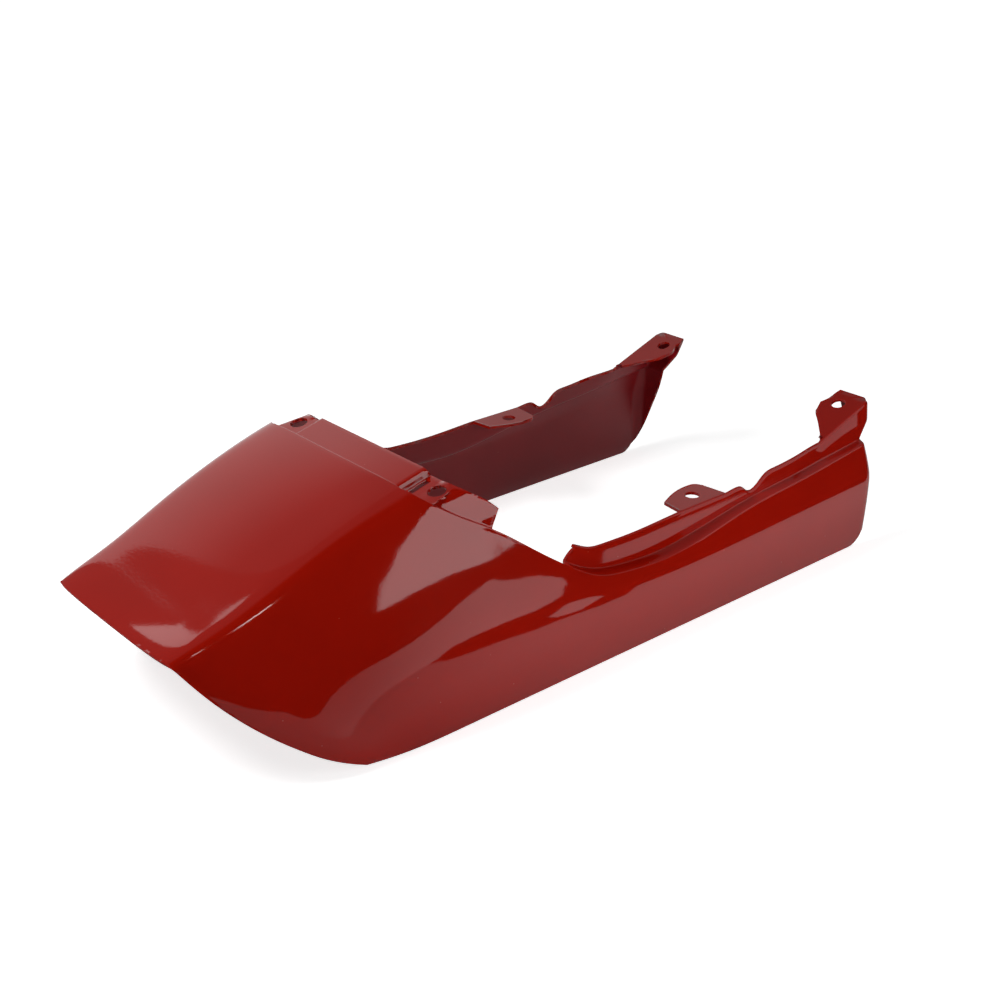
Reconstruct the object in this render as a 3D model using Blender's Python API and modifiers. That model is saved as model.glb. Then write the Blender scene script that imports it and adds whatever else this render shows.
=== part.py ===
"""Motorcycle tail fairing: one moulded, painted shell.

A smooth hood covers the tail behind the seat. Its deck falls to the rear edge, its
shoulders roll into the side panels, and two arms run forward on either side of the seat.
Each arm ends in a ridge, a narrow ledge and an upright seat flange with two bolt lugs,
and its front edge turns inwards as a stiffening return.
Ahead of the deck's rim a lower shelf carries the seat's rear tongue.

Metres, +X the rider's right, +Y forwards, +Z up, resting on the arms' lower edges.
"""
import math

import bmesh
import bpy
import numpy as np
from mathutils import Matrix, Vector

# Moulding
WALL = 0.0025
STEP_DRAFT = 0.003
SHOULDER_DRAFT = 0.0015
SHARP_ANGLE = math.radians(35.0)

# Lengths, along Y: the tail behind the rim of the deck and the arms ahead of it
REAR_Y = -0.327
TAIL_LENGTH = 0.185
ARM_LENGTH = 0.450
RIM_Y = REAR_Y + TAIL_LENGTH
ARM_FRONT_Y = RIM_Y + ARM_LENGTH

# Half widths, along X
DECK_HALF_WIDTH = 0.077
BELT_HALF_WIDTH = 0.1429
FLANGE_HALF_WIDTH = 0.127

# Heights, along Z
DECK_REAR_HEIGHT = 0.094
DECK_RIM_HEIGHT = 0.1655

# Seat flange on the arms, which leans inwards and forwards near its front end
FOLD_FADE = 0.02
LEAN_FADE = 0.04
FLANGE_START_Y = RIM_Y + 0.108
FLANGE_START_LEAN = 0.010
FLANGE_START_LENGTH = 0.040
FLANGE_LEAN_IN = 0.003
FLANGE_FOOT_LEAD = 0.003
FLANGE_TOP_LEAD = 0.014
FLANGE_BEND = 0.004
FOLD_BEND = 0.0024
LEDGE_RISE = 0.002

# Bolt lugs
LUG_HOLE = 0.012
LUG_SPACING = 0.190
FRONT_LUG_LEAD = 0.003
FRONT_LUG_Y = ARM_FRONT_Y + FRONT_LUG_LEAD
MID_LUG_Y = FRONT_LUG_Y - LUG_SPACING
MID_LUG_HALF_SPACING = 0.110
MID_LUG_RISE = 0.0205
FRONT_LUG_HALF_SPACING = 0.103
FRONT_LUG_RISE = 0.0282
FRONT_LUG_SLOPE = math.radians(20.0)
FRONT_LUG_BASE = 0.048
NOTCH_START = 0.038
NOTCH_END = 0.070

# Return at the front of each arm, and the rounded lower corner
PANEL_RADIUS = 0.012
FLANGE_RADIUS = 0.005
RETURN_TOP_X = 0.0925
RETURN_FOOT_X = 0.137
RETURN_FOOT_Z = 0.015
CORNER_LENGTH = 0.013
CORNER_RISE = 0.0065

# Shelf ahead of the rim: a middle platform and a pad on each side
SHELF_SLOPE = 0.25
PLATFORM_DROP = 0.0115
PLATFORM_REACH = 0.0345
PLATFORM_HALF_WIDTH = 0.064
PLATFORM_END = 0.0015
PAD_DROP = 0.0182
PAD_REACH = 0.038
SHOULDER_STEP = 0.005
SHELF_RUN = 0.049
SHELF_HOLE = 0.015
SHELF_HOLE_X = 0.0854
SHELF_HOLE_REACH = 0.0276
SLOT_WIDTH = 0.0055
SLOT_LENGTH = 0.018
SLOT_REACH = 0.0245
SLOT_LAND = 0.0008

# Drills and the slot tool pass well through the wall
CUT_DEPTH = 6.0 * WALL

# Mesh density: faces across each region, and round a drilled hole
CUT_SIDES = 24
SIDE_COLUMNS = 13
SHELF_BANDS = 4
FLANGE_BANDS = 6
LUG_BANDS = 6
FLANGE_STEPS = 12
MID_LUG_STEPS = 5
BEND_STEPS = 3
MERGE_DISTANCE = 0.00005

# Stations of the lengthwise lines: six from the rear edge to the rim, then six along the arm
TAIL_SHARES = (0.0, 0.06, 0.205, 0.475, 0.745, 1.015)
ARM_SHARES = (0.118, 0.229, 0.362, 0.518, 0.762, 1.03)
STATIONS = [REAR_Y + TAIL_LENGTH * s for s in TAIL_SHARES]
STATIONS += [RIM_Y + ARM_LENGTH * s for s in ARM_SHARES]

# Lengthwise lines of the skin, from the middle of the deck down to the bottom edge.
# Width share: up to 1 a share of the deck's half width, and from 1 to 2 on to the belt.
# Height share: of the deck's height at the rim. Lag: how far the line starts ahead of the
# deck's rear edge, because the tail's lower edge sweeps forwards.
DECK_RISE = (0.0, 0.06, 0.188, 0.493, 0.778, 1.0, 1.167, 1.29, 1.33, 1.33, 1.33, 1.33)
DECK_DROP = (0.0015, 0.0015, 0.001, 0.001, 0.0015, 0.003, 0.008, 0.025, 0.055, 0.07, 0.065, 0.06)
WIDTHS = (
    (0.0,) * 12,
    (0.49, 0.49, 0.49, 0.49, 0.49, 0.49, 0.52, 0.58, 0.65, 0.65, 0.65, 0.65),
    (0.87, 0.873, 0.877, 0.883, 0.883, 0.87, 0.97, 1.12, 1.27, 1.35, 1.35, 1.35),
    (1.0, 1.017, 1.045, 1.09, 1.12, 1.152, 1.23, 1.37, 1.53, 1.58, 1.58, 1.58),
    (1.061, 1.10, 1.16, 1.25, 1.303, 1.364, 1.44, 1.56, 1.68, 1.70, 1.73, 1.73),
    (1.258, 1.341, 1.432, 1.554, 1.645, 1.698, 1.728, 1.80, 1.85, 1.857, 1.85, 1.842),
    (1.501, 1.607, 1.706, 1.819, 1.888, 1.926, 1.948, 1.968, 1.98, 1.986, 1.989, 1.98),
    (1.713, 1.789, 1.865, 1.926, 1.965, 1.983, 1.992, 1.997, 2.0, 2.0, 2.0, 1.995),
    (1.865, 1.91, 1.941, 1.971, 1.986, 1.991, 1.994, 1.994, 1.994, 1.994, 1.994, 1.986),
    (1.926, 1.941, 1.956, 1.961, 1.961, 1.961, 1.961, 1.961, 1.961, 1.961, 1.961, 1.956),
)
HEIGHTS = {
    4: (0.512, 0.533, 0.584, 0.70, 0.807, 0.892, 0.892, 0.80, 0.545, 0.54, 0.62, 0.68),
    5: (0.382, 0.398, 0.44, 0.548, 0.638, 0.693, 0.681, 0.612, 0.442, 0.448, 0.52, 0.575),
    6: (0.253, 0.265, 0.301, 0.385, 0.446, 0.476, 0.467, 0.425, 0.372, 0.355, 0.375, 0.405),
    7: (0.157, 0.163, 0.187, 0.241, 0.283, 0.313, 0.325, 0.33, 0.328, 0.313, 0.33, 0.352),
    8: (0.072, 0.078, 0.084, 0.102, 0.133, 0.151, 0.157, 0.157, 0.157, 0.157, 0.163, 0.163),
    9: (0.024, 0.018, 0.006, 0.0, 0.0, 0.0, 0.0, 0.0, 0.0, 0.0, 0.0, 0.0),
}
LAGS = (0.0, 0.0, 0.001, 0.004, 0.009, 0.024, 0.045, 0.066, 0.087, 0.108)
LAG_SHARE = 0.362
LINE_COUNT = len(WIDTHS)

# Seat line in side view, as shares of the arm's length and of the deck's height: the rim
# drops over the shoulder into the arm's ridge
SEAT_LINE = (
    (0.0, 0.991), (0.0244, 0.938), (0.06, 0.869), (0.1178, 0.775), (0.1844, 0.642),
    (0.2378, 0.539), (0.2911, 0.454), (0.3622, 0.405), (0.4578, 0.387), (0.5667, 0.416),
    (0.6778, 0.462), (0.8067, 0.492), (0.94, 0.526), (1.03, 0.552),
)

# Free edge of the shelf over the shoulder: share of the run, width share as above, reach
# ahead of the rim, and drop below the deck's height
SHELF_EDGE = (
    (0.0, 1.023, 0.0380, 0.0087), (0.2, 1.143, 0.0387, 0.0085), (0.4, 1.266, 0.0430, 0.0110),
    (0.6, 1.347, 0.0498, 0.0154), (0.8, 1.419, 0.0563, 0.0200), (1.0, 1.490, 0.0627, 0.0263),
)

# Height of the flange above the ledge: after the flange's start, about the middle lug with
# the bump and the notch ahead of it, and before the front lug's fold
START_RISES = ((0.0, 0.0150), (0.013, 0.0182), (0.027, 0.0184), (0.042, 0.0205), (0.075, 0.0240))
LUG_RISES = ((0.036, 0.0161), (0.042, 0.0140), (0.048, 0.0088), (0.054, 0.0070),
             (0.060, 0.0091), (0.068, 0.0144))
FOLD_RISES = ((-0.060, 0.0163), (-0.035, 0.0165))

# Lug outlines in plan from the hole's centre: inwards and forwards
MID_LUG = ((-0.005, -0.0265), (-0.011, -0.0125), (-0.0145, 0.001), (-0.0150, 0.010),
           (-0.0135, 0.017), (-0.008, 0.0205))
MID_LUG_START = -0.029
MID_LUG_END = 0.023
FRONT_LUG = ((0.0170, -0.0435), (0.0039, -0.0306), (-0.0112, -0.0163), (-0.0150, -0.0063),
             (-0.0133, 0.0), (-0.0118, 0.0145))


def blend(t):
    t = min(max(t, 0.0), 1.0)
    return t * t * (3.0 - 2.0 * t)


def spline(points):
    """Natural cubic through (place, value) points, which gives a curve of even curvature."""
    knots = np.array([p[0] for p in points], float)
    values = np.array([p[1] for p in points], float)
    count = len(knots)
    step = np.diff(knots)
    matrix = np.zeros((count, count))
    right = np.zeros(count)
    matrix[0, 0] = matrix[-1, -1] = 1.0
    for i in range(1, count - 1):
        matrix[i, i - 1:i + 2] = step[i - 1], 2.0 * (step[i - 1] + step[i]), step[i]
        right[i] = 6.0 * ((values[i + 1] - values[i]) / step[i]
                          - (values[i] - values[i - 1]) / step[i - 1])
    bend = np.linalg.solve(matrix, right)

    def at(x):
        i = int(np.clip(np.searchsorted(knots, x) - 1, 0, count - 2))
        a = (knots[i + 1] - x) / step[i]
        b = (x - knots[i]) / step[i]
        curve = (a ** 3 - a) * bend[i] + (b ** 3 - b) * bend[i + 1]
        return a * values[i] + b * values[i + 1] + curve * step[i] ** 2 / 6.0

    return at


def half_width(share):
    if share <= 1.0:
        return share * DECK_HALF_WIDTH
    return DECK_HALF_WIDTH + (share - 1.0) * (BELT_HALF_WIDTH - DECK_HALF_WIDTH)


def line_heights(index):
    deck = [DECK_REAR_HEIGHT + (DECK_RIM_HEIGHT - DECK_REAR_HEIGHT) * s for s in DECK_RISE]
    if index < 3:
        return deck
    if index == 3:
        return [height - drop for height, drop in zip(deck, DECK_DROP)]
    return [share * DECK_RIM_HEIGHT for share in HEIGHTS[index]]


LINE_X = [spline(list(zip(STATIONS, map(half_width, row)))) for row in WIDTHS]
LINE_Z = [spline(list(zip(STATIONS, line_heights(k)))) for k in range(LINE_COUNT)]
KNOTS = np.concatenate([[0.0] * 3, np.linspace(0.0, 1.0, LINE_COUNT - 2), [1.0] * 3])
LAG_END = RIM_Y + LAG_SHARE * ARM_LENGTH


def weights(u):
    """Cubic B-spline weights of the lines across the section, u from 0 to 1."""
    u = min(max(u, 0.0), 1.0 - 1e-12)
    count = LINE_COUNT + 3
    basis = [1.0 if KNOTS[i] <= u < KNOTS[i + 1] else 0.0 for i in range(count)]
    for degree in range(1, 4):
        raised = []
        for i in range(count - degree):
            left = KNOTS[i + degree] - KNOTS[i]
            right = KNOTS[i + degree + 1] - KNOTS[i + 1]
            value = (u - KNOTS[i]) / left * basis[i] if left > 0.0 else 0.0
            if right > 0.0:
                value += (KNOTS[i + degree + 1] - u) / right * basis[i + 1]
            raised.append(value)
        basis = raised
    return basis


def skin(v, u):
    """Point of the outer skin: v runs forwards, u from the middle line to the bottom edge."""
    share = weights(u)
    lag = blend((LAG_END - v) / (LAG_END - REAR_Y))
    x = sum(w * line(v) for w, line in zip(share, LINE_X))
    y = v + lag * sum(w * back for w, back in zip(share, LAGS))
    z = sum(w * line(v) for w, line in zip(share, LINE_Z))
    return Vector((x, y, z))


def skin_normal(v, u):
    step = 0.0005
    along = skin(v + step, u) - skin(v - step, u)
    across = skin(v, min(u + step, 1.0)) - skin(v, u - step)
    return across.cross(along).normalized()


SEAT_Z = spline([(RIM_Y + ahead * ARM_LENGTH, height * DECK_RIM_HEIGHT)
                 for ahead, height in SEAT_LINE])


def search(low, high, before):
    """The place between low and high where before(place) turns from true to false."""
    for _ in range(40):
        middle = 0.5 * (low + high)
        if before(middle):
            low = middle
        else:
            high = middle
    return 0.5 * (low + high)


def rim_u(v):
    """Where the seat line crosses the section at v."""
    def above(u):
        point = skin(v, u)
        return point.z > SEAT_Z(max(point.y, RIM_Y))
    return search(0.15, 0.80, above)


def bottom_u(v):
    """The bottom edge, which rises round the arm's lower front corner."""
    share = (v - (ARM_FRONT_Y - CORNER_LENGTH)) / CORNER_LENGTH
    if share <= 0.0:
        return 1.0
    return search(0.80, 1.0, lambda u: skin(v, u).z > CORNER_RISE * share * share)


def steps(start, end, count):
    return [start + (end - start) * (i + 1) / count for i in range(count)]


# Lugs and the flange's top line
MID_LUG_HEIGHT = SEAT_Z(MID_LUG_Y) + MID_LUG_RISE
FRONT_LUG_HEIGHT = SEAT_Z(FRONT_LUG_Y) + FRONT_LUG_RISE
FOLD_Y = FRONT_LUG_Y - FRONT_LUG_BASE
NOTCH_START_Y = MID_LUG_Y + NOTCH_START
NOTCH_END_Y = MID_LUG_Y + NOTCH_END
ARM_REACH = ARM_FRONT_Y + PANEL_RADIUS


def front_lug_height(y):
    return FRONT_LUG_HEIGHT + (y - FRONT_LUG_Y) * math.tan(FRONT_LUG_SLOPE)


def flange_heights():
    places = [(FLANGE_START_Y + ahead, rise) for ahead, rise in START_RISES]
    heights = [(y, SEAT_Z(y) + rise) for y, rise in places]
    for ahead in (MID_LUG_START, 0.0, MID_LUG_END):
        heights.append((MID_LUG_Y + ahead, MID_LUG_HEIGHT))
    for ahead, rise in LUG_RISES:
        heights.append((MID_LUG_Y + ahead, SEAT_Z(MID_LUG_Y + ahead) + rise))
    for ahead, rise in FOLD_RISES:
        heights.append((FOLD_Y + ahead, SEAT_Z(FOLD_Y + ahead) + rise))
    heights.append((FOLD_Y, front_lug_height(FOLD_Y)))
    return sorted(heights)


FLANGE_LINE = spline(flange_heights())


def flange_top(y):
    if MID_LUG_Y + MID_LUG_START <= y <= MID_LUG_Y + MID_LUG_END:
        return MID_LUG_HEIGHT
    if y >= FOLD_Y:
        return front_lug_height(y)
    return FLANGE_LINE(y)


# Rows across the shell and columns along it
CORNER_U = rim_u(RIM_Y + 0.0005)
CORNER_X = skin(RIM_Y, CORNER_U).x
PAD_X = PLATFORM_HALF_WIDTH + PLATFORM_END
DECK_X = [share * PLATFORM_HALF_WIDTH for share in (0.0, 0.22, 0.44, 0.66, 0.86, 1.0)]
DECK_X += [PAD_X, 0.5 * (PAD_X + CORNER_X)]
DECK_U = [search(0.0, 0.8, lambda u, x=x: skin(RIM_Y, u).x < x) for x in DECK_X] + [CORNER_U]
CORNER_COLUMN = len(DECK_X)
TAIL_ROWS = [REAR_Y + TAIL_LENGTH * s
             for s in (0.0, 0.016, 0.043, 0.086, 0.15, 0.23, 0.32, 0.42, 0.52, 0.62, 0.72, 0.82,
                       0.91, 1.0)]
SHELF_ROWS = [RIM_Y + SHELF_RUN * s for s in (0.1, 0.2, 0.34, 0.5, 0.66, 0.83, 1.0)]
FREE_ROWS = steps(SHELF_ROWS[-1], FLANGE_START_Y, 6)
FLANGE_ROWS = steps(FLANGE_START_Y, MID_LUG_Y + MID_LUG_START, FLANGE_STEPS)
FLANGE_ROWS += steps(MID_LUG_Y + MID_LUG_START, MID_LUG_Y + MID_LUG_END, MID_LUG_STEPS)
FLANGE_ROWS += steps(MID_LUG_Y + MID_LUG_END, NOTCH_START_Y, 2)
FLANGE_ROWS += steps(NOTCH_START_Y, NOTCH_END_Y, 7)
FLANGE_ROWS += steps(NOTCH_END_Y, FOLD_Y, 6)
FRONT_ROWS = steps(FOLD_Y, ARM_FRONT_Y, 5)
ROWS = TAIL_ROWS + SHELF_ROWS + FREE_ROWS + FLANGE_ROWS + FRONT_ROWS
RIM_ROW = len(TAIL_ROWS) - 1
SHELF_ROW = RIM_ROW + len(SHELF_ROWS)
FLANGE_ROW = SHELF_ROW + len(FREE_ROWS)
FOLD_ROW = FLANGE_ROW + len(FLANGE_ROWS)
LAST_ROW = len(ROWS) - 1
MID_LUG_ROW = FLANGE_ROW + FLANGE_STEPS
ROW_U = [CORNER_U if i <= RIM_ROW else rim_u(v) for i, v in enumerate(ROWS)]
BOTTOM_U = [bottom_u(v) for v in ROWS]


def deck_point(row, column):
    return skin(TAIL_ROWS[row], DECK_U[column])


def side_point(row, column):
    share = column / SIDE_COLUMNS
    return skin(ROWS[row], ROW_U[row] + (BOTTOM_U[row] - ROW_U[row]) * share)


def rim_station(column):
    """Rim point of a shelf column: along the deck first, then down over the shoulder."""
    if column <= CORNER_COLUMN:
        return RIM_Y, DECK_U[column]
    row = RIM_ROW + column - CORNER_COLUMN
    return ROWS[row], ROW_U[row]


SHELF_COLUMNS = CORNER_COLUMN + len(SHELF_ROWS)
EDGE_X = spline([(share, half_width(width)) for share, width, reach, drop in SHELF_EDGE])
EDGE_Y = spline([(share, RIM_Y + reach) for share, width, reach, drop in SHELF_EDGE])
EDGE_Z = spline([(share, DECK_RIM_HEIGHT - drop) for share, width, reach, drop in SHELF_EDGE])


def platform_height(y):
    return DECK_RIM_HEIGHT - PLATFORM_DROP + SHELF_SLOPE * (y - RIM_Y)


def pad_height(y):
    return DECK_RIM_HEIGHT - PAD_DROP + SHELF_SLOPE * (y - RIM_Y)


def shelf_foot(column):
    """Foot of the step below the rim, on the platform, the pad or the shoulder."""
    v, u = rim_station(column)
    point = skin(v, u)
    if column < CORNER_COLUMN:
        height = platform_height if DECK_X[column] <= PLATFORM_HALF_WIDTH else pad_height
        y = point.y + STEP_DRAFT
        return Vector((point.x, y, height(y)))
    normal = skin_normal(v, u)
    run = skin(*rim_station(min(column + 1, SHELF_COLUMNS))) - skin(*rim_station(column - 1))
    ahead = normal.cross(run).normalized() * SHOULDER_DRAFT
    on_shoulder = point - normal * SHOULDER_STEP + ahead
    on_pad = Vector((point.x, point.y + STEP_DRAFT, pad_height(point.y + STEP_DRAFT)))
    return min(on_shoulder, on_pad, key=lambda place: place.z)


def shelf_edge(column):
    if column >= CORNER_COLUMN:
        share = (column - CORNER_COLUMN) / len(SHELF_ROWS)
        return Vector((EDGE_X(share), EDGE_Y(share), EDGE_Z(share)))
    if DECK_X[column] <= PLATFORM_HALF_WIDTH:
        y = RIM_Y + PLATFORM_REACH
        return Vector((DECK_X[column], y, platform_height(y)))
    y = RIM_Y + PAD_REACH
    return Vector((DECK_X[column], y, pad_height(y)))


def shelf_point(row, column):
    if row == 0:
        return skin(*rim_station(column))
    return shelf_foot(column).lerp(shelf_edge(column), (row - 1) / (SHELF_BANDS - 1))


def flange_point(row, column):
    """Ridge, ledge, flange wall and the curl along its top, for columns 0 to 6."""
    ridge = skin(ROWS[row], ROW_U[row])
    if column == 0:
        return ridge
    front = blend((ridge.y - FOLD_Y) / (ARM_FRONT_Y - FOLD_Y))
    foot_lead = FLANGE_FOOT_LEAD * front
    foot = Vector((FLANGE_HALF_WIDTH, ridge.y + foot_lead, ridge.z + LEDGE_RISE))
    if column == 1:
        return ridge.lerp(foot, 0.5)
    bend = FLANGE_BEND + (FOLD_BEND - FLANGE_BEND) * blend((ridge.y - FOLD_Y) / FOLD_FADE)
    inset = (0.0, 0.0, 0.3, 1.0)[max(column - 3, 0)] * bend
    drop = (1.0, 1.0, 0.3, 0.0)[max(column - 3, 0)] * bend
    rise = (0.0, 0.5, 1.0, 1.0, 1.0)[column - 2]
    start = FLANGE_START_LEAN * max(0.0, 1.0 - (ridge.y - FLANGE_START_Y) / FLANGE_START_LENGTH)
    lean = start * rise + FLANGE_TOP_LEAD * front * min(1.0, 2.0 * rise)
    y = foot.y + max(lean - foot_lead, 0.0) if rise > 0.0 else foot.y
    top = flange_top(y) - drop
    inwards = inset + FLANGE_LEAN_IN * rise * blend((y - FOLD_Y) / LEAN_FADE + 1.0)
    return Vector((FLANGE_HALF_WIDTH - inwards, y, foot.z + (top - foot.z) * rise))


def polyline(points, share):
    position = share * (len(points) - 1)
    index = min(int(position), len(points) - 2)
    part = position - index
    return [a + (b - a) * part for a, b in zip(points[index], points[index + 1])]


def mid_lug_point(row, column):
    base = flange_point(MID_LUG_ROW + row, FLANGE_BANDS)
    inwards, forwards = polyline(MID_LUG, row / MID_LUG_STEPS)
    tip = Vector((MID_LUG_HALF_SPACING + inwards, MID_LUG_Y + forwards, MID_LUG_HEIGHT))
    return base.lerp(tip, column / LUG_BANDS)


def front_lug_point(row, column):
    if row == len(FRONT_ROWS):
        return return_point(column, SIDE_COLUMNS + FLANGE_BANDS)
    base = flange_point(FOLD_ROW + row, FLANGE_BANDS)
    inwards, forwards = polyline(FRONT_LUG, row / len(FRONT_ROWS))
    y = FRONT_LUG_Y + forwards
    tip = Vector((FRONT_LUG_HALF_SPACING + inwards, y, front_lug_height(y)))
    return base.lerp(tip, column / LUG_BANDS)


def return_point(row, column):
    """Columns climb the arm's front end: the side panel, then the ledge and the flange.

    Rows turn inwards round the bend, then run flat to the free edge.
    """
    if column <= SIDE_COLUMNS:
        start = side_point(LAST_ROW, SIDE_COLUMNS - column)
    else:
        start = flange_point(LAST_ROW, column - SIDE_COLUMNS)
    top = front_lug_height(ARM_REACH)
    free_x = RETURN_FOOT_X + (RETURN_TOP_X - RETURN_FOOT_X) * (
        (start.z - RETURN_FOOT_Z) / (top - RETURN_FOOT_Z))
    inwards = max(start.x - free_x, 0.0)
    outer = blend((start.x - FLANGE_HALF_WIDTH) / (BELT_HALF_WIDTH - FLANGE_HALF_WIDTH))
    radius = FLANGE_RADIUS + (PANEL_RADIUS - FLANGE_RADIUS) * outer
    turn = math.acos(max(1.0 - inwards / radius, 0.0))
    share = min(row / BEND_STEPS, 1.0)
    angle = share * turn
    x = start.x - radius * (1.0 - math.cos(angle))
    y = start.y + radius * math.sin(angle)
    if row > BEND_STEPS:
        x += (free_x - x) * (row - BEND_STEPS) / (LUG_BANDS - BEND_STEPS) * (inwards > radius)
    z = start.z
    if column == SIDE_COLUMNS + FLANGE_BANDS:
        z = front_lug_height(y)
    return Vector((x, y, z))


def sheet(bm, rows, columns, place):
    """A grid of quads whose vertex (row, column) lies at place(row, column)."""
    grid = bmesh.ops.create_grid(bm, x_segments=columns, y_segments=rows, size=1.0)
    for vert in grid["verts"]:
        column = round((vert.co.x + 1.0) / 2.0 * columns)
        row = round((vert.co.y + 1.0) / 2.0 * rows)
        vert.co = place(row, column)
        vert.co.x = max(vert.co.x, 0.0)


def shell_mesh():
    """The right half of the skin, shelf, flange, lugs and return as one open sheet."""
    bm = bmesh.new()
    sheet(bm, RIM_ROW, CORNER_COLUMN, deck_point)
    sheet(bm, LAST_ROW, SIDE_COLUMNS, side_point)
    sheet(bm, SHELF_BANDS, SHELF_COLUMNS, shelf_point)
    sheet(bm, LAST_ROW - FLANGE_ROW, FLANGE_BANDS,
          lambda row, column: flange_point(FLANGE_ROW + row, column))
    sheet(bm, MID_LUG_STEPS, LUG_BANDS, mid_lug_point)
    sheet(bm, len(FRONT_ROWS), LUG_BANDS, front_lug_point)
    sheet(bm, LUG_BANDS, SIDE_COLUMNS + FLANGE_BANDS, return_point)
    bmesh.ops.remove_doubles(bm, verts=bm.verts, dist=MERGE_DISTANCE)
    bmesh.ops.dissolve_degenerate(bm, edges=bm.edges, dist=MERGE_DISTANCE)
    bmesh.ops.recalc_face_normals(bm, faces=bm.faces)
    deck = max(bm.faces, key=lambda face: face.calc_center_median().z)
    if deck.normal.z < 0.0:
        bmesh.ops.reverse_faces(bm, faces=bm.faces)
    mesh = bpy.data.meshes.new("tail_fairing")
    bm.to_mesh(mesh)
    bm.free()
    return mesh


def paint():
    material = bpy.data.materials.new("red_paint")
    material.use_nodes = True
    shader = material.node_tree.nodes["Principled BSDF"]
    shader.inputs["Base Color"].default_value = (0.20, 0.004, 0.002, 1.0)
    shader.inputs["Roughness"].default_value = 0.12
    shader.inputs["Metallic"].default_value = 0.0
    return material


def hole_cutter(bm, centre, diameter, tilt=0.0):
    for side in (-1.0, 1.0):
        place = Matrix.Translation((side * centre[0], centre[1], centre[2]))
        turn = Matrix.Rotation(tilt, 4, "X")
        bmesh.ops.create_cone(bm, cap_ends=True, segments=CUT_SIDES, radius1=0.5 * diameter,
                              radius2=0.5 * diameter, depth=CUT_DEPTH, matrix=place @ turn)


def cutters():
    """Drills for the four bolt lugs and the shelf, and the two slots beside the platform."""
    bm = bmesh.new()
    hole_cutter(bm, (MID_LUG_HALF_SPACING, MID_LUG_Y, MID_LUG_HEIGHT), LUG_HOLE)
    hole_cutter(bm, (FRONT_LUG_HALF_SPACING, FRONT_LUG_Y, FRONT_LUG_HEIGHT), LUG_HOLE,
                FRONT_LUG_SLOPE)
    hole_y = RIM_Y + SHELF_HOLE_REACH
    hole_cutter(bm, (SHELF_HOLE_X, hole_y, pad_height(hole_y)), SHELF_HOLE,
                math.atan(SHELF_SLOPE))
    slot_y = RIM_Y + SLOT_REACH
    for side in (-1.0, 1.0):
        middle = side * (PAD_X + SLOT_LAND + 0.5 * SLOT_WIDTH)
        place = Matrix.Translation((middle, slot_y, pad_height(slot_y)))
        size = Matrix.Diagonal((SLOT_WIDTH, SLOT_LENGTH, CUT_DEPTH, 1.0))
        bmesh.ops.create_cube(bm, size=1.0, matrix=place @ size)
    mesh = bpy.data.meshes.new("bolt_holes")
    bm.to_mesh(mesh)
    bm.free()
    return bpy.data.objects.new("bolt_holes", mesh)


def collection_for(name):
    group = bpy.data.collections.new(name)
    bpy.context.scene.collection.children.link(group)
    return group


def build():
    for thing in list(bpy.data.objects):
        bpy.data.objects.remove(thing, do_unlink=True)
    parts = collection_for("tail_fairing_parts")
    tools = collection_for("cutters")

    shell = bpy.data.objects.new("tail_fairing", shell_mesh())
    shell.data.materials.append(paint())
    parts.objects.link(shell)
    holes = cutters()
    holes.display_type = "WIRE"
    holes.hide_render = True
    tools.objects.link(holes)

    mirror = shell.modifiers.new("other_half", "MIRROR")
    mirror.merge_threshold = MERGE_DISTANCE
    wall = shell.modifiers.new("wall", "SOLIDIFY")
    wall.thickness = WALL
    wall.offset = -1.0
    wall.use_even_offset = True
    cut = shell.modifiers.new("holes", "BOOLEAN")
    cut.operation = "DIFFERENCE"
    cut.solver = "EXACT"
    cut.object = holes
    shell.data.shade_smooth()
    shell.data.set_sharp_from_angle(angle=SHARP_ANGLE)


build()
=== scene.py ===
"""Painted tail fairing of a motorcycle, set on a pale table in soft studio light."""

import math

import bmesh
import bpy
import numpy as np
from mathutils import Matrix, Vector


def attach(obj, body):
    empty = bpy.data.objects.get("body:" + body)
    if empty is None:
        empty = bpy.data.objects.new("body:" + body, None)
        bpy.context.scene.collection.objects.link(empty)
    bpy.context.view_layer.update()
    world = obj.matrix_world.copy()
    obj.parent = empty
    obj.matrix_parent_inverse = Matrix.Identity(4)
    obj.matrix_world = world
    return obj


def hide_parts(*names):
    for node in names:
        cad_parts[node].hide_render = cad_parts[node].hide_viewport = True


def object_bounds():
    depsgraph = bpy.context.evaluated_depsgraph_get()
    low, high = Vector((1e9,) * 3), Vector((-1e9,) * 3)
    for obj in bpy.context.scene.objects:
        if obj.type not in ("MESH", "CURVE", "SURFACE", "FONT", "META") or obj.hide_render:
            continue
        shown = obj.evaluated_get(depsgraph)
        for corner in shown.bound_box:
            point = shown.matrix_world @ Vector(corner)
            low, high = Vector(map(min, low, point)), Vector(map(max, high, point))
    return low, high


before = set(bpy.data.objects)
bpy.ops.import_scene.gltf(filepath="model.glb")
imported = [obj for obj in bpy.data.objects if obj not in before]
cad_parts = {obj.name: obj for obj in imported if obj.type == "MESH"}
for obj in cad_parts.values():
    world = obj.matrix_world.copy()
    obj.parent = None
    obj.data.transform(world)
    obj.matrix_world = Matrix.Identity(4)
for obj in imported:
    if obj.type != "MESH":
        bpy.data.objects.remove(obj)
cad_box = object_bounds()

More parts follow.
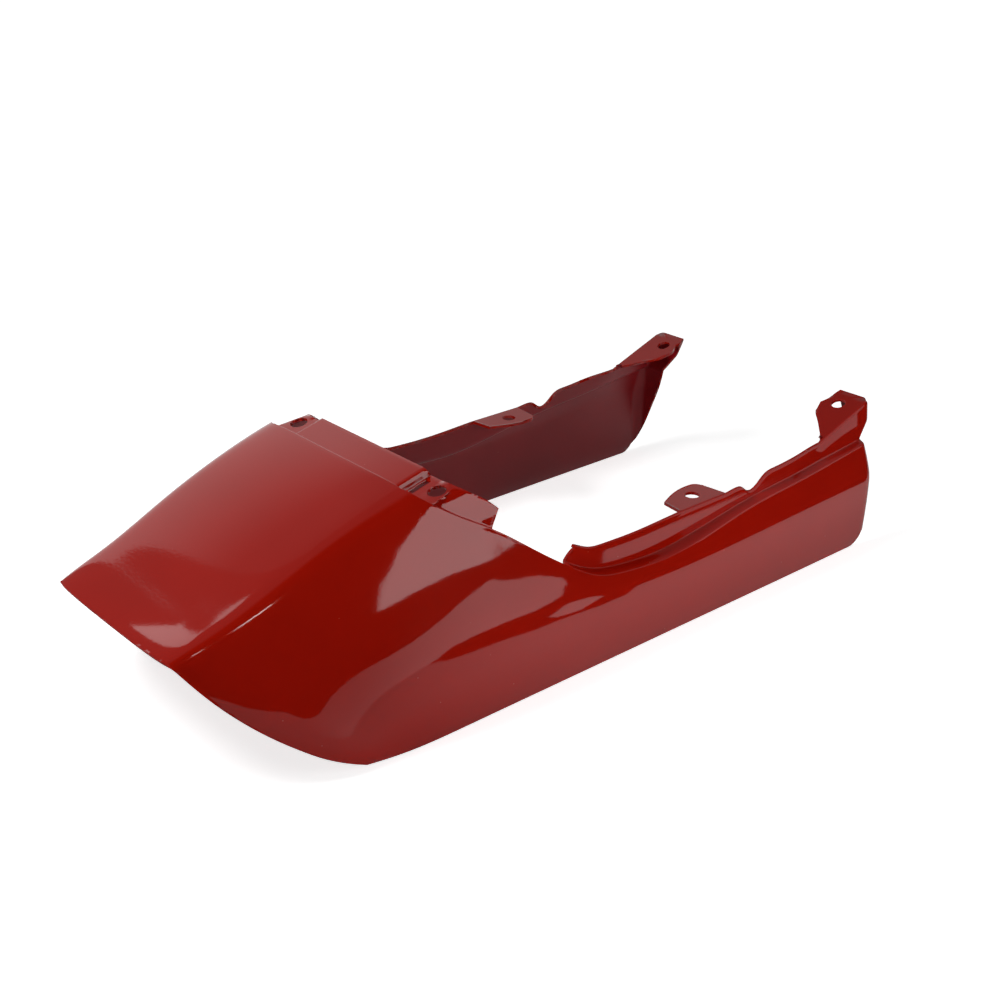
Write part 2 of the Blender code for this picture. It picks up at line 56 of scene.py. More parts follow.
# Tail fairing: one shell, injection moulded in ABS, sprayed in red and lacquered.
# A hood covers the tail, and two arms run forward on either side of the seat. The right
# half is drawn through ten lengthwise lines, and the mould's other half mirrors it.
WALL = 0.0025
REAR_Y = -0.327
TAIL_LENGTH = 0.185
ARM_LENGTH = 0.450
RIM_Y = REAR_Y + TAIL_LENGTH
ARM_FRONT_Y = RIM_Y + ARM_LENGTH
DECK_HALF_WIDTH = 0.077
BELT_HALF_WIDTH = 0.1429
FLANGE_HALF_WIDTH = 0.127
DECK_REAR_HEIGHT = 0.094
DECK_RIM_HEIGHT = 0.1655

# Stations of the lines from the rear edge to the rim, then along the arm, as shares
TAIL_SHARES = (0.0, 0.06, 0.205, 0.475, 0.745, 1.015)
ARM_SHARES = (0.118, 0.229, 0.362, 0.518, 0.762, 1.03)
STATIONS = [REAR_Y + TAIL_LENGTH * s for s in TAIL_SHARES]
STATIONS += [RIM_Y + ARM_LENGTH * s for s in ARM_SHARES]

# Each line's width: up to 1 a share of the deck's half width, from 1 to 2 on to the belt.
# The first three lines lie in the deck and the fourth drops below it. The others' heights are
# shares of the rim's height. Lags say how far ahead of the rear edge a line starts.
DECK_RISE = (0.0, 0.06, 0.188, 0.493, 0.778, 1.0, 1.167, 1.29, 1.33, 1.33, 1.33, 1.33)
DECK_DROP = (0.0015, 0.0015, 0.001, 0.001, 0.0015, 0.003, 0.008, 0.025, 0.055, 0.07, 0.065, 0.06)
WIDTHS = (
    (0.0,) * 12,
    (0.49, 0.49, 0.49, 0.49, 0.49, 0.49, 0.52, 0.58, 0.65, 0.65, 0.65, 0.65),
    (0.87, 0.873, 0.877, 0.883, 0.883, 0.87, 0.97, 1.12, 1.27, 1.35, 1.35, 1.35),
    (1.0, 1.017, 1.045, 1.09, 1.12, 1.152, 1.23, 1.37, 1.53, 1.58, 1.58, 1.58),
    (1.061, 1.10, 1.16, 1.25, 1.303, 1.364, 1.44, 1.56, 1.68, 1.70, 1.73, 1.73),
    (1.258, 1.341, 1.432, 1.554, 1.645, 1.698, 1.728, 1.80, 1.85, 1.857, 1.85, 1.842),
    (1.501, 1.607, 1.706, 1.819, 1.888, 1.926, 1.948, 1.968, 1.98, 1.986, 1.989, 1.98),
    (1.713, 1.789, 1.865, 1.926, 1.965, 1.983, 1.992, 1.997, 2.0, 2.0, 2.0, 1.995),
    (1.865, 1.91, 1.941, 1.971, 1.986, 1.991, 1.994, 1.994, 1.994, 1.994, 1.994, 1.986),
    (1.926, 1.941, 1.956, 1.961, 1.961, 1.961, 1.961, 1.961, 1.961, 1.961, 1.961, 1.956),
)
HEIGHTS = {
    4: (0.512, 0.533, 0.584, 0.70, 0.807, 0.892, 0.892, 0.80, 0.545, 0.54, 0.62, 0.68),
    5: (0.382, 0.398, 0.44, 0.548, 0.638, 0.693, 0.681, 0.612, 0.442, 0.448, 0.52, 0.575),
    6: (0.253, 0.265, 0.301, 0.385, 0.446, 0.476, 0.467, 0.425, 0.372, 0.355, 0.375, 0.405),
    7: (0.157, 0.163, 0.187, 0.241, 0.283, 0.313, 0.325, 0.33, 0.328, 0.313, 0.33, 0.352),
    8: (0.072, 0.078, 0.084, 0.102, 0.133, 0.151, 0.157, 0.157, 0.157, 0.157, 0.163, 0.163),
    9: (0.024, 0.018, 0.006, 0.0, 0.0, 0.0, 0.0, 0.0, 0.0, 0.0, 0.0, 0.0),
}
LAGS = (0.0, 0.0, 0.001, 0.004, 0.009, 0.024, 0.045, 0.066, 0.087, 0.108)
LAG_END = RIM_Y + ARM_SHARES[2] * ARM_LENGTH


def ease(t):
    t = min(max(t, 0.0), 1.0)
    return t * t * (3.0 - 2.0 * t)


def fair_curve(points):
    """Natural cubic through (place, value) points, as a loftsman's batten lies."""
    knots = np.array([p[0] for p in points], float)
    values = np.array([p[1] for p in points], float)
    count = len(knots)
    step = np.diff(knots)
    matrix = np.zeros((count, count))
    right = np.zeros(count)
    matrix[0, 0] = matrix[-1, -1] = 1.0
    for i in range(1, count - 1):
        matrix[i, i - 1:i + 2] = step[i - 1], 2.0 * (step[i - 1] + step[i]), step[i]
        right[i] = 6.0 * ((values[i + 1] - values[i]) / step[i]
                          - (values[i] - values[i - 1]) / step[i - 1])
    bend = np.linalg.solve(matrix, right)

    def at(x):
        i = int(np.clip(np.searchsorted(knots, x) - 1, 0, count - 2))
        a = (knots[i + 1] - x) / step[i]
        b = (x - knots[i]) / step[i]
        curve = (a ** 3 - a) * bend[i] + (b ** 3 - b) * bend[i + 1]
        return a * values[i] + b * values[i + 1] + curve * step[i] ** 2 / 6.0

    return at


def half_width(share):
    if share <= 1.0:
        return share * DECK_HALF_WIDTH
    return DECK_HALF_WIDTH + (share - 1.0) * (BELT_HALF_WIDTH - DECK_HALF_WIDTH)


def line_heights(index):
    deck = [DECK_REAR_HEIGHT + (DECK_RIM_HEIGHT - DECK_REAR_HEIGHT) * s for s in DECK_RISE]
    if index < 3:
        return deck
    if index == 3:
        return [height - drop for height, drop in zip(deck, DECK_DROP)]
    return [share * DECK_RIM_HEIGHT for share in HEIGHTS[index]]


LINE_X = [fair_curve(list(zip(STATIONS, map(half_width, row)))) for row in WIDTHS]
LINE_Z = [fair_curve(list(zip(STATIONS, line_heights(k)))) for k in range(len(WIDTHS))]
KNOTS = np.concatenate([[0.0] * 3, np.linspace(0.0, 1.0, len(WIDTHS) - 2), [1.0] * 3])
SECTIONS = {}


def section(v):
    """The ten lines' places at v, kept because each section is used many times."""
    if v not in SECTIONS:
        lag = ease((LAG_END - v) / (LAG_END - REAR_Y))
        SECTIONS[v] = np.array([(line(v), v + lag * back, height(v))
                                for line, back, height in zip(LINE_X, LAGS, LINE_Z)])
    return SECTIONS[v]


def pull(u):
    """How strongly each line pulls the skin at u, by cubic B-spline weights."""
    u = min(max(u, 0.0), 1.0 - 1e-12)
    basis = np.where((KNOTS[:-1] <= u) & (u < KNOTS[1:]), 1.0, 0.0)
    for degree in range(1, 4):
        left = KNOTS[degree:-1] - KNOTS[:-1 - degree]
        right = KNOTS[degree + 1:] - KNOTS[1:-degree]
        near = np.divide(u - KNOTS[:-1 - degree], left, out=np.zeros_like(left), where=left > 0.0)
        far = np.divide(KNOTS[degree + 1:] - u, right, out=np.zeros_like(right),
                        where=right > 0.0)
        basis = near * basis[:-1] + far * basis[1:]
    return basis


def skin(v, u):
    """Point of the painted skin: v runs forwards, u from the middle line to the lower edge."""
    return Vector(pull(u) @ section(v))


def skin_normal(v, u):
    step = 0.0005
    along = skin(v + step, u) - skin(v - step, u)
    across = skin(v, min(u + step, 1.0)) - skin(v, u - step)
    return across.cross(along).normalized()


# Seat line in side view, where the rim drops over the shoulder into the arm's ridge
SEAT_LINE = (
    (0.0, 0.991), (0.0244, 0.938), (0.06, 0.869), (0.1178, 0.775), (0.1844, 0.642),
    (0.2378, 0.539), (0.2911, 0.454), (0.3622, 0.405), (0.4578, 0.387), (0.5667, 0.416),
    (0.6778, 0.462), (0.8067, 0.492), (0.94, 0.526), (1.03, 0.552),
)
SEAT_Z = fair_curve([(RIM_Y + ahead * ARM_LENGTH, height * DECK_RIM_HEIGHT)
                     for ahead, height in SEAT_LINE])
RIM_ROUND = 0.0013
RIDGE_ROUND = 0.0011
CORNER_LENGTH = 0.013
CORNER_RISE = 0.0065
DECK_U_RANGE = (0.0, 0.80)
SEAT_U_RANGE = (0.15, 0.80)
LOWER_U_RANGE = (0.80, 1.0)
SEARCH_ROUNDS = 32


def search(low, high, before):
    """The place between low and high where before(place) turns from true to false."""
    for _ in range(SEARCH_ROUNDS):
        middle = 0.5 * (low + high)
        if before(middle):
            low = middle
        else:
            high = middle
    return 0.5 * (low + high)


def rim_u(v):
    """Where the seat line crosses the section at v."""
    def above(u):
        point = skin(v, u)
        return point.z > SEAT_Z(max(point.y, RIM_Y))
    return search(*SEAT_U_RANGE, above)


def bottom_u(v):
    """The lower edge, which rises round the arm's lower front corner."""
    share = (v - (ARM_FRONT_Y - CORNER_LENGTH)) / CORNER_LENGTH
    if share <= 0.0:
        return 1.0
    return search(*LOWER_U_RANGE, lambda u: skin(v, u).z > CORNER_RISE * share * share)


# Two bolt lugs stand on each arm's seat flange, and their tops are flat. The rises give the
# flange's height above the seat line: behind the middle lug, at the notch ahead of it, and
# before the front lug. The lugs' free edges are given from the centres of their holes.
LUG_HOLE = 0.012
MID_LUG_RISE = 0.0205
FRONT_LUG_RISE = 0.0282
MID_LUG_Y = RIM_Y + 0.263
MID_LUG_X = 0.110
FRONT_LUG_Y = RIM_Y + 0.453
FRONT_LUG_X = 0.103
FRONT_LUG_SLOPE = math.radians(20.0)
MID_LUG_Z = SEAT_Z(MID_LUG_Y) + MID_LUG_RISE
FRONT_LUG_Z = SEAT_Z(FRONT_LUG_Y) + FRONT_LUG_RISE
MID_LUG_START = MID_LUG_Y - 0.029
MID_LUG_END = MID_LUG_Y + 0.023
NOTCH_START = MID_LUG_Y + 0.038
NOTCH_END = MID_LUG_Y + 0.070
FOLD_Y = FRONT_LUG_Y - 0.048
FLANGE_START = RIM_Y + 0.108
START_RISES = ((0.0, 0.0150), (0.013, 0.0182), (0.027, 0.0184), (0.042, 0.0205), (0.075, 0.0240))
NOTCH_RISES = ((0.036, 0.0161), (0.042, 0.0140), (0.048, 0.0088), (0.054, 0.0070),
               (0.060, 0.0091), (0.068, 0.0144))
FOLD_RISES = ((-0.060, 0.0163), (-0.035, 0.0165))
MID_LUG = ((-0.005, -0.0265), (-0.011, -0.0125), (-0.0145, 0.001), (-0.0150, 0.010),
           (-0.0135, 0.017), (-0.008, 0.0205))
FRONT_LUG = ((0.0170, -0.0435), (0.0039, -0.0306), (-0.0075, -0.0200), (-0.0112, -0.0163),
             (-0.0132, -0.0100), (-0.0150, -0.0063), (-0.0153, -0.0030), (-0.0137, -0.0010),
             (-0.0123, 0.0030), (-0.0118, 0.0145))


def front_lug_z(y):
    return FRONT_LUG_Z + (y - FRONT_LUG_Y) * math.tan(FRONT_LUG_SLOPE)


def flange_line():
    places = [(FLANGE_START + ahead, rise) for ahead, rise in START_RISES]
    places += [(MID_LUG_Y + ahead, rise) for ahead, rise in NOTCH_RISES]
    places += [(FOLD_Y + ahead, rise) for ahead, rise in FOLD_RISES]
    heights = [(y, SEAT_Z(y) + rise) for y, rise in places]
    heights += [(y, MID_LUG_Z) for y in (MID_LUG_START, MID_LUG_Y, MID_LUG_END)]
    heights.append((FOLD_Y, front_lug_z(FOLD_Y)))
    return fair_curve(sorted(heights))


FLANGE_LINE = flange_line()


def flange_top(y):
    if MID_LUG_START <= y <= MID_LUG_END:
        return MID_LUG_Z
    if y >= FOLD_Y:
        return front_lug_z(y)
    return FLANGE_LINE(y)


def steps(start, end, count):
    return [start + (end - start) * (i + 1) / count for i in range(count)]


def rounded(points, radii, arcs, straights):
    """The points' polyline with its inner corners rounded, cut into even steps."""
    places = [Vector(points[0])]
    for i in range(1, len(points)):
        corner = Vector(points[i])
        if i == len(points) - 1:
            begin = corner
        else:
            back = Vector(points[i - 1]) - corner
            ahead = Vector(points[i + 1]) - corner
            most = 1.0 if i == 1 else 0.5
            begin = corner + back * min(radii[i - 1] / max(back.length, 1e-9), most)
            end = corner + ahead * min(radii[i - 1] / max(ahead.length, 1e-9), 0.5)
        last = places[-1]
        places += [last.lerp(begin, (k + 1) / straights[i - 1]) for k in range(straights[i - 1])]
        if i < len(points) - 1:
            places += [begin.lerp(corner, t).lerp(corner.lerp(end, t), t)
                       for t in [(k + 1) / arcs[i - 1] for k in range(arcs[i - 1])]]
    return places


# Shelf ahead of the rim: a step down to a sloping platform that ends in a roll, a lower pad
# on each side with a grommet hole and a slot, and a facet that follows the shoulder down
SHELF_SLOPE = 0.25
PLATFORM_DROP = 0.0115
PLATFORM_REACH = 0.0345
PAD_DROP = 0.0182
PAD_REACH = 0.038
ROLL = ((0.0605, 0.0), (0.0640, 0.0), (0.0655, 1.0), (0.0668, 1.0))
ROLL_ROUNDS = (0.0026, 0.0011)
FOOT_ROUND = 0.0016
STEP_DRAFT = 0.003
SHOULDER_DRAFT = 0.0015
SHOULDER_STEP = 0.005
SHELF_RUN = 0.049
SHELF_HOLE = 0.0138
SHELF_HOLE_X = 0.0847
SHELF_HOLE_Y = RIM_Y + 0.0276
SLOT_X = 0.06905
SLOT_Y = RIM_Y + 0.0245
SLOT = (0.0055, 0.018)
SLOT_CORNER = 0.0008
RUN_SHARES = fair_curve([(i / 7.0, s) for i, s in
                         enumerate((0.0, 0.1, 0.2, 0.34, 0.5, 0.66, 0.83, 1.0))])
SHELF_EDGE = (
    (0.0, 1.023, 0.0380, 0.0087), (0.2, 1.143, 0.0387, 0.0085), (0.4, 1.266, 0.0430, 0.0110),
    (0.6, 1.347, 0.0498, 0.0154), (0.8, 1.419, 0.0563, 0.0200), (1.0, 1.490, 0.0627, 0.0263),
)
EDGE_X = fair_curve([(share, half_width(width)) for share, width, reach, drop in SHELF_EDGE])
EDGE_Y = fair_curve([(share, RIM_Y + reach) for share, width, reach, drop in SHELF_EDGE])
EDGE_Z = fair_curve([(share, DECK_RIM_HEIGHT - drop) for share, width, reach, drop in SHELF_EDGE])

JUST_AHEAD = 0.0005
PLATFORM_COLUMNS = 24
PAD_COLUMNS = 7
CORNER_U = rim_u(RIM_Y + JUST_AHEAD)
CORNER_X = skin(RIM_Y, CORNER_U).x
roll_step = PAD_DROP - PLATFORM_DROP
roll = rounded([(x, 0.0, low * roll_step) for x, low in ROLL], ROLL_ROUNDS, (5, 4), (1, 2, 1))
DECK_COLUMNS = [(x, 0.0) for x in np.linspace(0.0, ROLL[0][0], PLATFORM_COLUMNS + 1)[:-1]]
DECK_COLUMNS += [(place.x, place.z / roll_step) for place in roll]
DECK_COLUMNS += [(x, 1.0) for x in steps(ROLL[-1][0], CORNER_X, PAD_COLUMNS)[:-1]]
DECK_U = [search(*DECK_U_RANGE, lambda u, x=x: skin(RIM_Y, u).x < x) for x, low in DECK_COLUMNS]
DECK_U.append(CORNER_U)
CORNER_COLUMN = len(DECK_COLUMNS)
SHOULDER_COLUMNS = 28

# Rows of the skin from the rear edge forwards, closer at the rear edge, and columns from the
# seat line down
TAIL_STEPS = 54
TAIL_CROWDING = 1.15
SEAT_ROWS = 22
START_ROWS = 44
MID_LUG_ROWS = 24
LUG_TO_NOTCH_ROWS = 7
NOTCH_ROWS = 20
NOTCH_TO_FOLD_ROWS = 24
FRONT_ROWS = 18
SIDE_COLUMNS = 40
TAIL_ROWS = [REAR_Y] + [REAR_Y + (TAIL_LENGTH - RIM_ROUND) * s ** TAIL_CROWDING
                        for s in steps(0.0, 1.0, TAIL_STEPS)]
ROWS = TAIL_ROWS + [RIM_Y + SHELF_RUN * RUN_SHARES(s) for s in steps(0.0, 1.0, SHOULDER_COLUMNS)]
SHELF_ROW = len(ROWS) - 1
ROWS += steps(ROWS[-1], FLANGE_START, SEAT_ROWS)
FLANGE_ROW = len(ROWS) - 1
ROWS += steps(FLANGE_START, MID_LUG_START, START_ROWS)
MID_LUG_ROW = len(ROWS) - 1
ROWS += steps(MID_LUG_START, MID_LUG_END, MID_LUG_ROWS)
ROWS += steps(MID_LUG_END, NOTCH_START, LUG_TO_NOTCH_ROWS)
ROWS += steps(NOTCH_START, NOTCH_END, NOTCH_ROWS)
ROWS += steps(NOTCH_END, FOLD_Y, NOTCH_TO_FOLD_ROWS)
FOLD_ROW = len(ROWS) - 1
ROWS += steps(FOLD_Y, ARM_FRONT_Y, FRONT_ROWS)
LAST_ROW = len(ROWS) - 1
RIM_ROW = len(TAIL_ROWS) - 1
SEAT_U = [CORNER_U if i <= RIM_ROW else rim_u(v) for i, v in enumerate(ROWS)]
LOWER_U = [bottom_u(v) for v in ROWS]
RIM_RUN_OUT = 0.006
RIDGE_RUN_IN = 0.004


def edge_round(row):
    """The rounding's width beside the seat line, which runs out where the edge is free."""
    v = ROWS[row]
    if row <= SHELF_ROW:
        return RIM_ROUND * ease((ROWS[SHELF_ROW] - v) / RIM_RUN_OUT)
    return RIDGE_ROUND * ease((v - FLANGE_START) / RIDGE_RUN_IN)


def first_u(row):
    """Where the side panel begins, below the seat line's rounding."""
    if row <= RIM_ROW:
        return SEAT_U[row]
    step = 0.002
    fall = (skin(ROWS[row], SEAT_U[row] + step) - skin(ROWS[row], SEAT_U[row])).length / step
    return SEAT_U[row] + edge_round(row) / fall


FIRST_U = [first_u(row) for row in range(len(ROWS))]


def deck_point(row, column):
    return skin(TAIL_ROWS[row], DECK_U[column])


def side_point(row, column):
    share = column / SIDE_COLUMNS
    return skin(ROWS[row], FIRST_U[row] + (LOWER_U[row] - FIRST_U[row]) * share)


def rim_place(column):
    """The rim's sharp line at a shelf column: along the deck, then down over the shoulder."""
    if column <= CORNER_COLUMN:
        return RIM_Y, DECK_U[column]
    row = RIM_ROW + column - CORNER_COLUMN
    return ROWS[row], SEAT_U[row]


def rim_start(column):
    """Where the rim's rounding leaves the deck or the shoulder."""
    if column <= CORNER_COLUMN:
        return skin(TAIL_ROWS[RIM_ROW], DECK_U[column])
    return side_point(RIM_ROW + column - CORNER_COLUMN, 0)


def shelf_z(y, low):
    return DECK_RIM_HEIGHT - PLATFORM_DROP - low * roll_step + SHELF_SLOPE * (y - RIM_Y)


def shelf_foot(column):
    v, u = rim_place(column)
    point = skin(v, u)
    y = point.y + STEP_DRAFT
    if column < CORNER_COLUMN:
        return Vector((point.x, y, shelf_z(y, DECK_COLUMNS[column][1])))
    normal = skin_normal(v, u)
    last = CORNER_COLUMN + SHOULDER_COLUMNS
    run = skin(*rim_place(min(column + 2, last))) - skin(*rim_place(column - 2))
    ahead = normal.cross(run).normalized() * SHOULDER_DRAFT
    on_shoulder = point - normal * SHOULDER_STEP + ahead
    on_pad = Vector((point.x, y, shelf_z(y, 1.0)))
    return min(on_shoulder, on_pad, key=lambda place: place.z)


def shelf_edge(column):
    if column >= CORNER_COLUMN:
        share = (column - CORNER_COLUMN) / SHOULDER_COLUMNS
        return Vector((EDGE_X(share), EDGE_Y(share), EDGE_Z(share)))
    x, low = DECK_COLUMNS[column]
    y = RIM_Y + PLATFORM_REACH + (PAD_REACH - PLATFORM_REACH) * low
    return Vector((x, y, shelf_z(y, low)))


SHELF_PROFILES = [rounded([rim_start(c), skin(*rim_place(c)), shelf_foot(c), shelf_edge(c)],
                          (RIM_ROUND, FOOT_ROUND), (5, 4), (0, 3, 9))
                  for c in range(CORNER_COLUMN + SHOULDER_COLUMNS + 1)]
SHELF_BANDS = len(SHELF_PROFILES[0]) - 1

# Ridge, narrow ledge and upright seat flange on the arm; the flange curls in at its top
LEDGE_RISE = 0.002
LEDGE_ROUND = 0.0012
WALL_ROUND = 0.002
FLANGE_BEND = 0.0027
FOLD_BEND = 0.0024
FOLD_RUN = 0.02
FOOT_LEAD = 0.003
TOP_LEAD = 0.014
START_LEAN = 0.010
START_RUN = 0.040
LEAN_IN = 0.003
LEAN_RUN = 0.04
CURL_STEPS = 6


def wall_place(row, rise, inset, drop):
    """A point of the flange's wall: rise runs from its foot to its top."""
    ridge = skin(ROWS[row], SEAT_U[row])
    front = ease((ridge.y - FOLD_Y) / (ARM_FRONT_Y - FOLD_Y))
    foot_y = ridge.y + FOOT_LEAD * front
    foot_z = ridge.z + LEDGE_RISE
    start = START_LEAN * max(0.0, 1.0 - (ridge.y - FLANGE_START) / START_RUN)
    lean = start * rise + TOP_LEAD * front * min(1.0, 2.0 * rise)
    y = foot_y + max(lean - FOOT_LEAD * front, 0.0) if rise > 0.0 else foot_y
    inwards = inset + LEAN_IN * rise * ease((y - FOLD_Y) / LEAN_RUN + 1.0)
    z = foot_z + (flange_top(y) - drop - foot_z) * rise
    return Vector((FLANGE_HALF_WIDTH - inwards, y, z))


def flange_profile(row):
    ridge = skin(ROWS[row], SEAT_U[row])
    bend = FLANGE_BEND + (FOLD_BEND - FLANGE_BEND) * ease((ridge.y - FOLD_Y) / FOLD_RUN)
    corners = [side_point(row, 0), ridge, wall_place(row, 0.0, 0.0, bend),
               wall_place(row, 0.5, 0.0, bend), wall_place(row, 1.0, 0.0, bend)]
    places = rounded(corners, (RIDGE_ROUND, LEDGE_ROUND, WALL_ROUND), (4, 4, 2), (0, 2, 2, 3))
    for i in range(CURL_STEPS):
        turn = 0.5 * math.pi * (i + 1) / CURL_STEPS
        places.append(wall_place(row, 1.0, bend * (1.0 - math.cos(turn)),
                                 bend * (1.0 - math.sin(turn))))
    return places


FLANGE_PROFILES = {row: flange_profile(row) for row in range(FLANGE_ROW, LAST_ROW + 1)}
FLANGE_BANDS = len(FLANGE_PROFILES[LAST_ROW]) - 1
LUG_BANDS = 14


def outline(points):
    """A smooth outline through the points, by shares of its length."""
    places = [Vector((*p, 0.0)) for p in points]
    lengths = [0.0]
    for a, b in zip(places, places[1:]):
        lengths.append(lengths[-1] + (b - a).length)
    shares = [length / lengths[-1] for length in lengths]
    across = fair_curve([(s, p[0]) for s, p in zip(shares, points)])
    along = fair_curve([(s, p[1]) for s, p in zip(shares, points)])
    return lambda share: (across(share), along(share))


MID_OUTLINE = outline(MID_LUG)
FRONT_OUTLINE = outline(FRONT_LUG)


def mid_lug_point(row, column):
    base = FLANGE_PROFILES[MID_LUG_ROW + row][-1]
    inwards, forwards = MID_OUTLINE(row / MID_LUG_ROWS)
    tip = Vector((MID_LUG_X + inwards, MID_LUG_Y + forwards, MID_LUG_Z))
    return base.lerp(tip, column / LUG_BANDS)


def front_lug_point(row, column):
    if row == FRONT_ROWS:
        return return_point(column, SIDE_COLUMNS + FLANGE_BANDS)
    base = FLANGE_PROFILES[FOLD_ROW + row][-1]
    inwards, forwards = FRONT_OUTLINE(row / FRONT_ROWS)
    y = FRONT_LUG_Y + forwards
    return base.lerp(Vector((FRONT_LUG_X + inwards, y, front_lug_z(y))), column / LUG_BANDS)


# The arm's front end turns inwards as a stiffening return, with a straight free edge
PANEL_RADIUS = 0.012
FLANGE_RADIUS = 0.005
RETURN_TOP_X = 0.0925
RETURN_FOOT_X = 0.137
RETURN_FOOT_Z = 0.015
BEND_STEPS = 8


def return_point(row, column):
    if column <= SIDE_COLUMNS:
        start = side_point(LAST_ROW, SIDE_COLUMNS - column)
    else:
        start = FLANGE_PROFILES[LAST_ROW][column - SIDE_COLUMNS]
    top = front_lug_z(ARM_FRONT_Y + PANEL_RADIUS)
    climb = (start.z - RETURN_FOOT_Z) / (top - RETURN_FOOT_Z)
    free_x = RETURN_FOOT_X + (RETURN_TOP_X - RETURN_FOOT_X) * climb
    inwards = max(start.x - free_x, 0.0)
    outer = ease((start.x - FLANGE_HALF_WIDTH) / (BELT_HALF_WIDTH - FLANGE_HALF_WIDTH))
    radius = FLANGE_RADIUS + (PANEL_RADIUS - FLANGE_RADIUS) * outer
    angle = min(row / BEND_STEPS, 1.0) * math.acos(max(1.0 - inwards / radius, 0.0))
    x = start.x - radius * (1.0 - math.cos(angle))
    y = start.y + radius * math.sin(angle)
    if row > BEND_STEPS and inwards > radius:
        x += (free_x - x) * (row - BEND_STEPS) / (LUG_BANDS - BEND_STEPS)
    z = front_lug_z(y) if column == SIDE_COLUMNS + FLANGE_BANDS else start.z
    return Vector((x, y, z))


# The half shell is laid as sheets that share their edges, opened, mirrored and given its wall
MERGE = 0.00004


def lay_sheet(bm, rows, columns, place):
    """Lays a grid of quads whose corner (row, column) lies at place(row, column)."""
    grid = bmesh.ops.create_grid(bm, x_segments=columns, y_segments=rows, size=1.0)
    for vert in grid["verts"]:
        column = round((vert.co.x + 1.0) / 2.0 * columns)
        row = round((vert.co.y + 1.0) / 2.0 * rows)
        vert.co = place(row, column)
        vert.co.x = max(vert.co.x, 0.0)


shell_bm = bmesh.new()
lay_sheet(shell_bm, RIM_ROW, CORNER_COLUMN, deck_point)
lay_sheet(shell_bm, LAST_ROW, SIDE_COLUMNS, side_point)
lay_sheet(shell_bm, SHELF_BANDS, CORNER_COLUMN + SHOULDER_COLUMNS,
          lambda row, column: SHELF_PROFILES[column][row])
lay_sheet(shell_bm, LAST_ROW - FLANGE_ROW, FLANGE_BANDS,
          lambda row, column: FLANGE_PROFILES[FLANGE_ROW + row][column])
lay_sheet(shell_bm, MID_LUG_ROWS, LUG_BANDS, mid_lug_point)
lay_sheet(shell_bm, FRONT_ROWS, LUG_BANDS, front_lug_point)
lay_sheet(shell_bm, LUG_BANDS, SIDE_COLUMNS + FLANGE_BANDS, return_point)
bmesh.ops.remove_doubles(shell_bm, verts=shell_bm.verts, dist=MERGE)
bmesh.ops.dissolve_degenerate(shell_bm, edges=shell_bm.edges, dist=MERGE)


OPENING_SIDES = 48
NEAR_SHEET = 0.006


def cut_opening(bm, centre, tilt, reach_x, reach_y, corner):
    """Opens a round hole or a round-cornered slot along the sheet, one side at a time."""
    place = Matrix.Translation(centre) @ Matrix.Rotation(tilt, 4, "X")
    to_flat = place.inverted()
    ring = []
    for i in range(OPENING_SIDES):
        turn = 2.0 * math.pi * (i + 0.5) / OPENING_SIDES
        x = corner * math.cos(turn)
        y = corner * math.sin(turn)
        ring.append(Vector((x + math.copysign(reach_x - corner, x),
                            y + math.copysign(reach_y - corner, y), 0.0)))

    def is_near(face):
        spots = [to_flat @ vert.co for vert in face.verts]
        return (max(abs(spot.z) for spot in spots) < NEAR_SHEET
                and min(spot.x for spot in spots) < reach_x
                and max(spot.x for spot in spots) > -reach_x
                and min(spot.y for spot in spots) < reach_y
                and max(spot.y for spot in spots) > -reach_y)

    inside = [face for face in bm.faces if is_near(face)]
    for start, end in zip(ring, ring[1:] + ring[:1]):
        out = (end - start).cross(Vector((0.0, 0.0, 1.0))).normalized()
        edges = {edge for face in inside for edge in face.edges}
        verts = {vert for face in inside for vert in face.verts}
        cut = bmesh.ops.bisect_plane(bm, geom=[*inside, *edges, *verts], dist=1e-6,
                                     plane_co=place @ start, plane_no=place.to_3x3() @ out)
        pieces = [part for part in cut["geom"] if isinstance(part, bmesh.types.BMFace)]
        inside = [face for face in pieces
                  if (to_flat @ face.calc_center_median() - start).dot(out) < 0.0]
    bmesh.ops.delete(bm, geom=inside, context="FACES")


shelf_tilt = math.atan(SHELF_SLOPE)
hole = 0.5 * LUG_HOLE
cut_opening(shell_bm, (MID_LUG_X, MID_LUG_Y, MID_LUG_Z), 0.0, hole, hole, hole)
cut_opening(shell_bm, (FRONT_LUG_X, FRONT_LUG_Y, FRONT_LUG_Z), FRONT_LUG_SLOPE, hole, hole, hole)
hole = 0.5 * SHELF_HOLE
cut_opening(shell_bm, (SHELF_HOLE_X, SHELF_HOLE_Y, shelf_z(SHELF_HOLE_Y, 1.0)), shelf_tilt,
            hole, hole, hole)
cut_opening(shell_bm, (SLOT_X, SLOT_Y, shelf_z(SLOT_Y, 1.0)), shelf_tilt,
            0.5 * SLOT[0], 0.5 * SLOT[1], SLOT_CORNER)

# The deck looks up, so that the whole shell's faces point outwards
bmesh.ops.recalc_face_normals(shell_bm, faces=shell_bm.faces)
deck_faces = [face for face in shell_bm.faces if face.calc_center_median().y < RIM_Y - 0.01]
if sum(face.normal.z * face.calc_area() for face in deck_faces) < 0.0:
    bmesh.ops.reverse_faces(shell_bm, faces=shell_bm.faces)
shell_mesh = bpy.data.meshes.new("painted_shell")
shell_bm.to_mesh(shell_mesh)
shell_bm.free()

